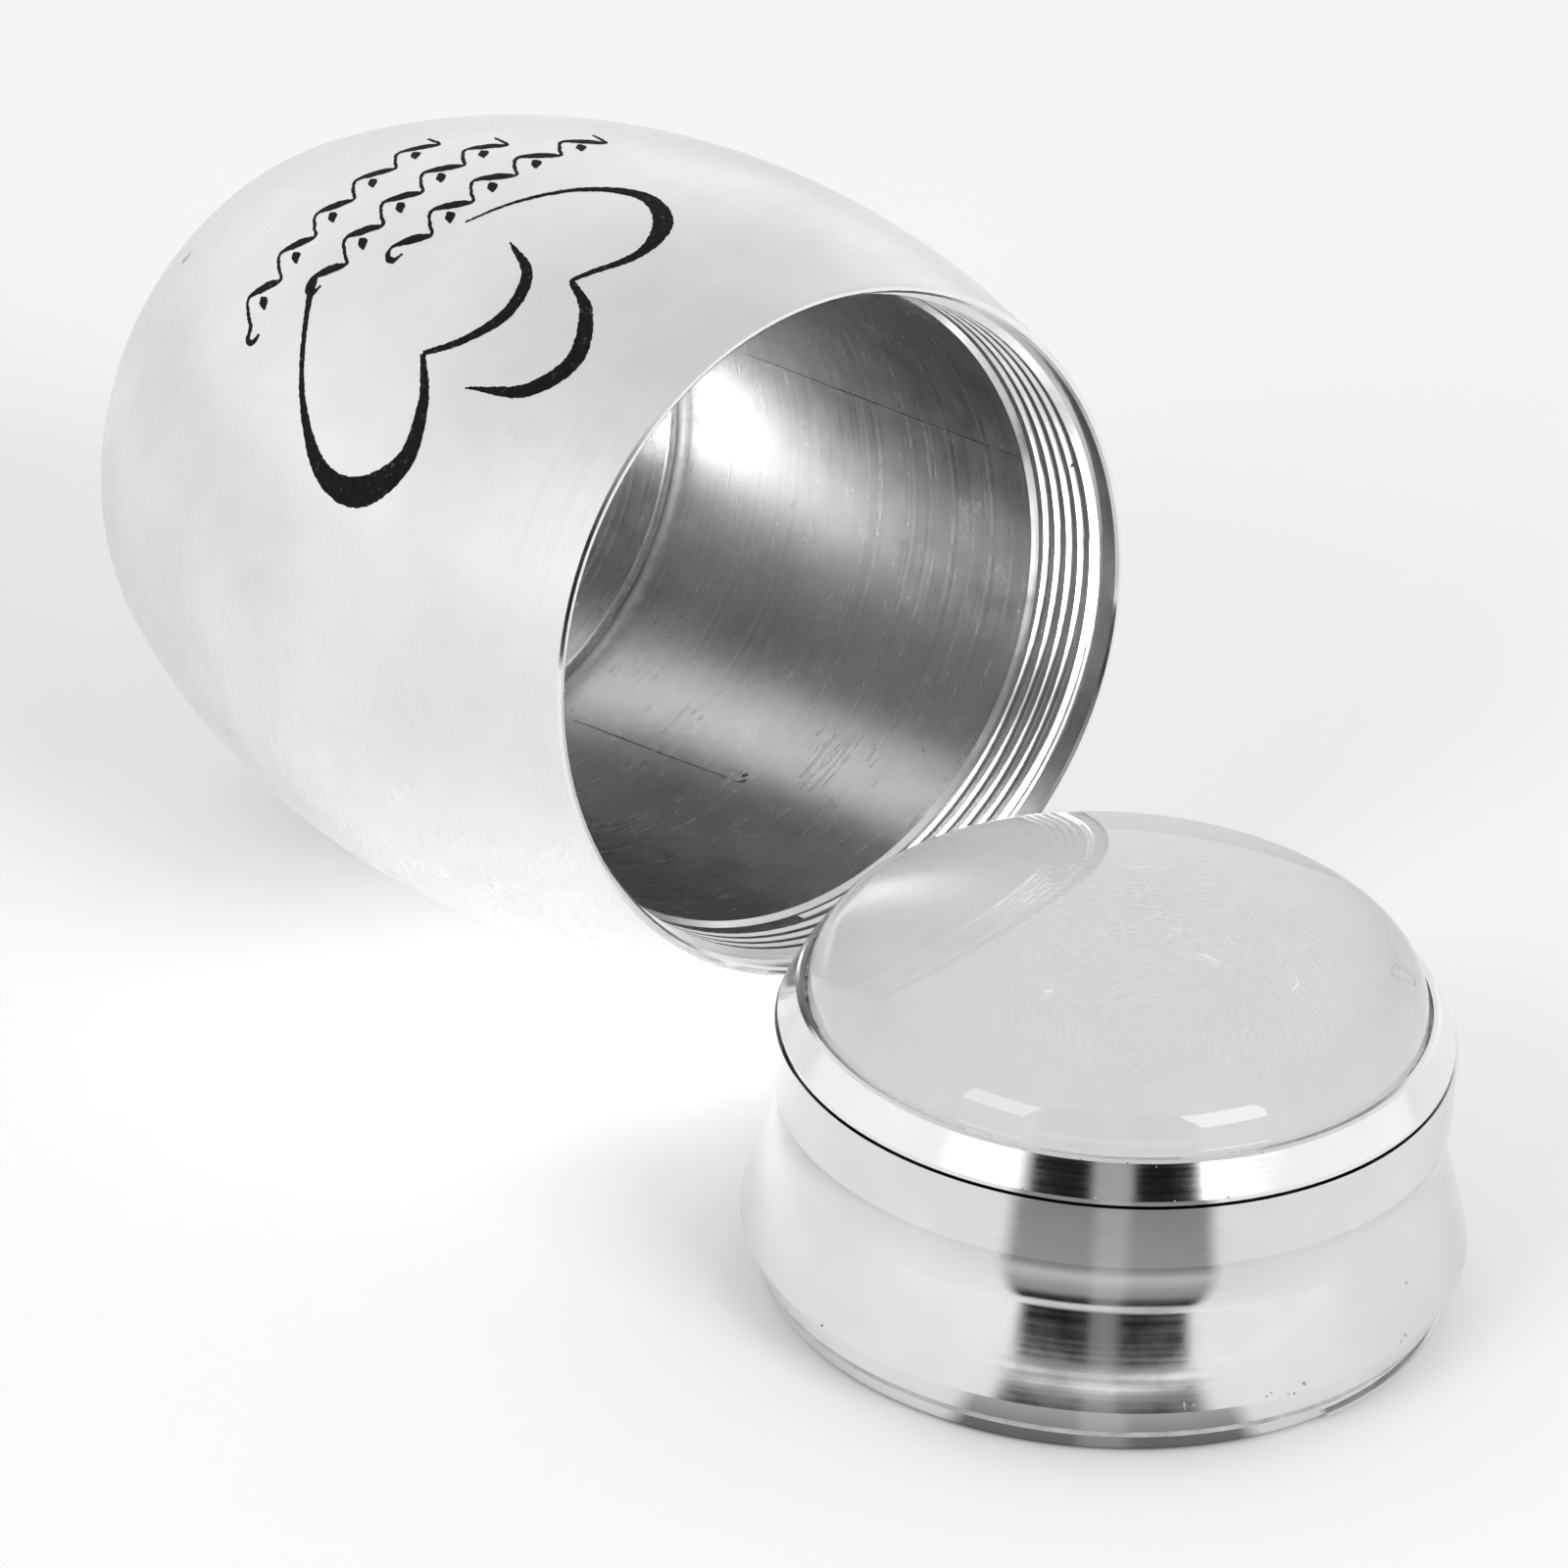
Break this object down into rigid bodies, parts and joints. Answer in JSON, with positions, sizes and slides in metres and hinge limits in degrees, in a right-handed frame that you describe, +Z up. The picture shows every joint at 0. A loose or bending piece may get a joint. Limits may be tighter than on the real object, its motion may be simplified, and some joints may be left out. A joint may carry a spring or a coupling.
{
  "type": "keepsake urn",
  "caption": "Small turned keepsake urn lying open, with its screw lid and glass dome standing at the mouth.",
  "frame": {"origin": "on the surface that the body and the lid stand on, under the middle of the arrangement", "axes": "+Z up, +X out of the mouth, seen from above; the body's axis rises 9 degrees towards +X"},
  "size_m": [0.0936, 0.045, 0.0461],
  "materials": {
    "urn_satin": "satin, clear",
    "disc_metal": "turned",
    "lid_satin": "satin, clear",
    "bezel_polish": "polished",
    "plug_polish": "polished",
    "dome_glass": "clear",
    "film_clear": "clear",
    "backing_pale": "matte",
    "seal_grey": "matte"
  },
  "bodies": {
    "urn": {"urn_body": "urn_satin", "base_disc": "disc_metal"},
    "seal": {"seal_ring": "seal_grey"},
    "lid": {"lid_shell": "lid_satin", "bezel_ring": "bezel_polish", "glass_dome": "dome_glass", "adhesive_film": "film_clear", "backing_disc": "backing_pale", "thread_plug": "plug_polish"}
  },
  "joints": [
    {"name": "lid_lift", "type": "slide", "parent": "urn", "child": "seal", "axis": [0, 0, 1], "range_m": [0, 0.05]},
    {"name": "lid_turn", "type": "hinge", "parent": "seal", "child": "lid", "pos_m": [0.0276, -0.0008, 0], "axis": [0, 0, 1], "continuous": true}
  ]
}
